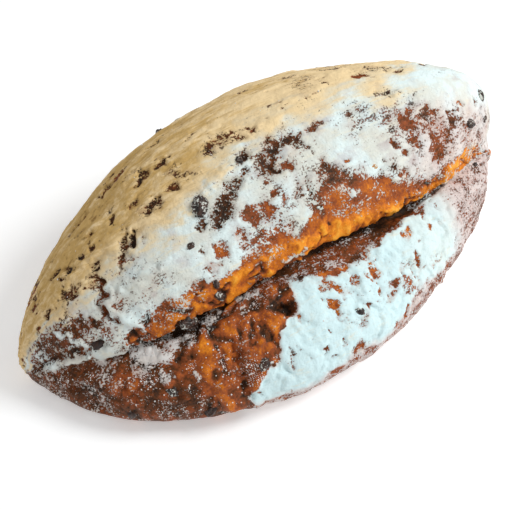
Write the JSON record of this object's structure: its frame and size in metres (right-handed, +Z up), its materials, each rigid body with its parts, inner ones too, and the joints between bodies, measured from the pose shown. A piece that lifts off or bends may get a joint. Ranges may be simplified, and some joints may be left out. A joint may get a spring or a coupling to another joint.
{
  "type": "easter bread",
  "caption": "Oval sugared fruit loaf of folded yeast dough, with a raised lobe lapping a lower one along a lengthwise crease, on a flat base.",
  "frame": {"origin": "under the middle of the loaf's bounding box, on the surface that its flat base rests on", "axes": "+X along the loaf from its narrow end to its blunt end, +Y from the low front lobe to the high back lobe, +Z up"},
  "size_m": [0.28, 0.1624, 0.0961],
  "materials": {
    "crust": "baked brown crust under a broken coat of icing sugar",
    "icing_sugar": "matte caked icing sugar, butter-tinted along the back",
    "raisin": "dark wrinkled raisin skin, slightly glossy",
    "candied_peel": "amber candied peel, slightly glossy"
  },
  "bodies": {
    "root": {"loaf": "crust"}
  },
  "joints": []
}
